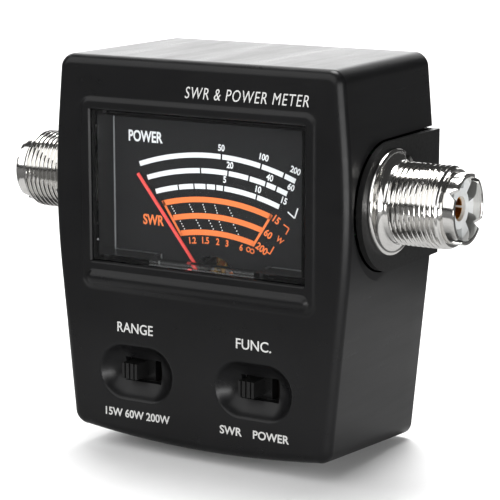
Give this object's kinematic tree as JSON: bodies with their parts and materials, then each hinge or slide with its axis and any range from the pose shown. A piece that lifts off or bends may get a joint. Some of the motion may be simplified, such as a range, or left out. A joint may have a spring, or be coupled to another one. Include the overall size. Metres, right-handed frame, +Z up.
{
  "type": "swr meter",
  "caption": "Bench SWR and power meter: a black moulded case with a clear-fronted moving-coil meter, slide switches in finger scoops, and a threaded coaxial socket on each side.",
  "frame": {"origin": "on the ground under the middle of the meter, at the bottom centre of its box", "axes": "+X to the viewer's right along the socket axis, +Y from the dial to the back, +Z up"},
  "size_m": [0.1, 0.0397, 0.0797],
  "materials": {
    "case_plastic": "satin, fine moulded texture",
    "chassis_steel": "black paint",
    "nickel": "bright nickel plate",
    "insulator_grey": "smooth",
    "contact_gold": "gold plate",
    "clear_cover": "clear polished plastic",
    "dial_print": "matt dark grey",
    "pointer_red": "matt red",
    "inner_steel": "plain",
    "magnet_alloy": "ground",
    "brass_parts": "plain",
    "jewel": "polished",
    "copper_wire": "enamelled",
    "tinplate": "tin plate",
    "circuit_board": "solder resist",
    "component_body": "lacquer",
    "trimmer_blue": "moulded",
    "rotor_white": "moulded",
    "phenolic": "punched sheet",
    "wire_cover": "soft",
    "foot_rubber": "matt",
    "knob_black": "ribbed"
  },
  "bodies": {
    "case": {"front_housing": "case_plastic", "rear_chassis": "chassis_steel", "rear_screws": "chassis_steel", "rubber_feet": "foot_rubber", "meter_cover": "clear_cover", "meter_base": "case_plastic", "dial_plate": "dial_print", "meter_yoke": "inner_steel", "magnet_core": "magnet_alloy", "core_holder": "brass_parts", "front_bridge": "inner_steel", "pivot_jewels": "jewel", "hairsprings": "brass_parts", "meter_terminals": "brass_parts", "meter_screws": "inner_steel", "connector_shell_left": "nickel", "connector_shell_right": "nickel", "connector_insulator_left": "insulator_grey", "connector_insulator_right": "insulator_grey", "center_contact_left": "contact_gold", "center_contact_right": "contact_gold", "lock_washer_left": "inner_steel", "lock_washer_right": "inner_steel", "connector_nut_left": "nickel", "connector_nut_right": "nickel", "coupler_trough": "tinplate", "through_line": "brass_parts", "coupler_board": "circuit_board", "pickup_lines": "copper_wire", "detector_diodes": "component_body", "load_resistors": "component_body", "bypass_capacitors": "component_body", "trimmer_bodies": "trimmer_blue", "switch_board": "circuit_board", "board_screws": "inner_steel", "range_switch_shell": "inner_steel", "range_switch_base": "phenolic", "range_switch_pins": "tinplate", "func_switch_shell": "inner_steel", "func_switch_base": "phenolic", "func_switch_pins": "tinplate", "meter_wires": "wire_cover", "coupler_wires": "wire_cover"},
    "needle": {"pointer": "pointer_red", "pointer_staff": "inner_steel", "moving_coil": "copper_wire"},
    "range_switch": {"range_slider": "knob_black", "range_contact_clip": "brass_parts"},
    "func_switch": {"func_slider": "knob_black", "func_contact_clip": "brass_parts"},
    "trimmer_low": {"trimmer_rotor_low": "rotor_white"},
    "trimmer_mid": {"trimmer_rotor_mid": "rotor_white"},
    "trimmer_high": {"trimmer_rotor_high": "rotor_white"}
  },
  "joints": [
    {"name": "needle_swing", "type": "hinge", "parent": "case", "child": "needle", "pos_m": [0, -0.01265, 0.0347], "axis": [0, 1, 0], "range_deg": [0, 76], "stiffness_Nm_per_rad": 0.00001, "springref_deg": -11.46},
    {"name": "range_slide", "type": "slide", "parent": "case", "child": "range_switch", "axis": [1, 0, 0], "range_m": [0, 0.004]},
    {"name": "func_slide", "type": "slide", "parent": "case", "child": "func_switch", "axis": [1, 0, 0], "range_m": [0, 0.004]},
    {"name": "trim_low", "type": "hinge", "parent": "case", "child": "trimmer_low", "pos_m": [-0.008, 0.009, 0.0486], "axis": [0, 1, 0], "range_deg": [-120, 120]},
    {"name": "trim_mid", "type": "hinge", "parent": "case", "child": "trimmer_mid", "pos_m": [0, 0.009, 0.0486], "axis": [0, 1, 0], "range_deg": [-120, 120]},
    {"name": "trim_high", "type": "hinge", "parent": "case", "child": "trimmer_high", "pos_m": [0.008, 0.009, 0.0486], "axis": [0, 1, 0], "range_deg": [-120, 120]}
  ]
}
